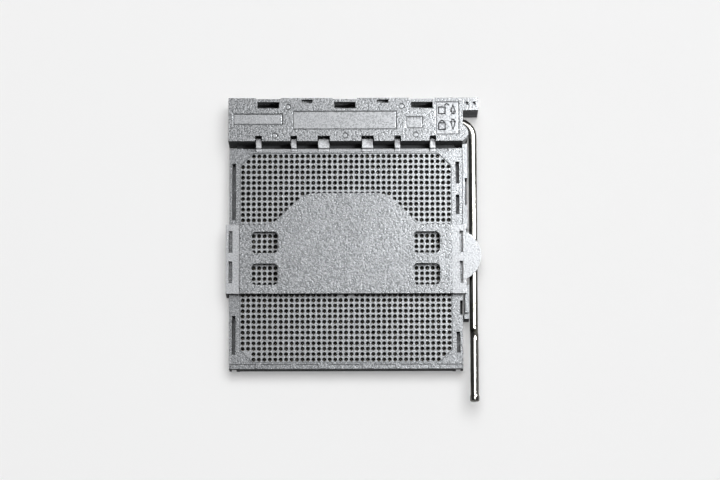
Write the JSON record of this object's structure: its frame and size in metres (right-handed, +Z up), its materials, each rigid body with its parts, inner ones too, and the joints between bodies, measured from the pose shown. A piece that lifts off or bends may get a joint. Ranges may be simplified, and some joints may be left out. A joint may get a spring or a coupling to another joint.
{
  "type": "cpu socket",
  "caption": "Surface-mount zero-force processor socket with a perforated sliding cover, a cam lever beside it and a pick-and-place cap clipped across its middle.",
  "frame": {"origin": "middle of the pin grid on the circuit board's surface", "axes": "+X toward the lever, +Y toward the cam head, +Z up from the board"},
  "size_m": [0.047, 0.0564, 0.0072],
  "materials": {
    "base_plastic": "glass-filled black moulding, fine grain",
    "cover_plastic": "glass-filled black moulding, fine grain",
    "head_plastic": "glass-filled black moulding, fine grain",
    "cap_plastic": "coarse-grained heat-resistant moulding",
    "lever_wire": "drawn wire, nickel plated",
    "cam_steel": "rolled sheet",
    "contact_plating": "thin gold plating",
    "solder": "tin alloy, slightly dull"
  },
  "bodies": {
    "base": {"base_housing": "base_plastic", "head_cover": "head_plastic", "wear_plate": "cam_steel", "contact_row_01": "contact_plating", "contact_row_02": "contact_plating", "contact_row_03": "contact_plating", "contact_row_04": "contact_plating", "contact_row_05": "contact_plating", "contact_row_06": "contact_plating", "contact_row_07": "contact_plating", "contact_row_08": "contact_plating", "contact_row_09": "contact_plating", "contact_row_10": "contact_plating", "contact_row_11": "contact_plating", "contact_row_12": "contact_plating", "contact_row_13": "contact_plating", "contact_row_14": "contact_plating", "contact_row_15": "contact_plating", "contact_row_16": "contact_plating", "contact_row_17": "contact_plating", "contact_row_18": "contact_plating", "contact_row_19": "contact_plating", "contact_row_20": "contact_plating", "contact_row_21": "contact_plating", "contact_row_22": "contact_plating", "contact_row_23": "contact_plating", "contact_row_24": "contact_plating", "contact_row_25": "contact_plating", "contact_row_26": "contact_plating", "contact_row_27": "contact_plating", "contact_row_28": "contact_plating", "contact_row_29": "contact_plating", "contact_row_30": "contact_plating", "contact_row_31": "contact_plating", "contact_row_32": "contact_plating", "contact_row_33": "contact_plating", "contact_row_34": "contact_plating", "contact_row_35": "contact_plating", "contact_row_36": "contact_plating", "contact_row_37": "contact_plating", "contact_row_38": "contact_plating", "contact_row_39": "contact_plating", "ball_rows_01": "solder", "ball_rows_02": "solder", "ball_rows_03": "solder", "ball_rows_04": "solder", "ball_rows_05": "solder", "ball_rows_06": "solder", "ball_rows_07": "solder", "ball_rows_08": "solder", "ball_rows_09": "solder", "ball_rows_10": "solder", "ball_rows_11": "solder", "ball_rows_12": "solder", "ball_rows_13": "solder"},
    "cover": {"cover_plate": "cover_plastic", "cam_channel": "cam_steel"},
    "lever": {"lever": "lever_wire"},
    "cap": {"pick_cap": "cap_plastic"}
  },
  "joints": [
    {"name": "lever_lift", "type": "hinge", "parent": "base", "child": "lever", "pos_m": [0.022, 0.0255, 0.0038], "axis": [-1, 0, 0], "range_deg": [0, 90]},
    {"name": "cover_slide", "type": "slide", "parent": "base", "child": "cover", "axis": [0, 1, 0], "range_m": [0, 0.0007]},
    {"name": "cap_tilt", "type": "hinge", "parent": "base", "child": "cap", "pos_m": [-0.02105, 0, 0.00105], "axis": [0, -1, 0], "range_deg": [0, 90]}
  ],
  "couplings": [
    {"joint": "cover_slide", "follows": "lever_lift", "m_per_rad": 0.0004456},
    {"joint": "cap_tilt", "follows": "lever_lift", "ratio": 1}
  ]
}
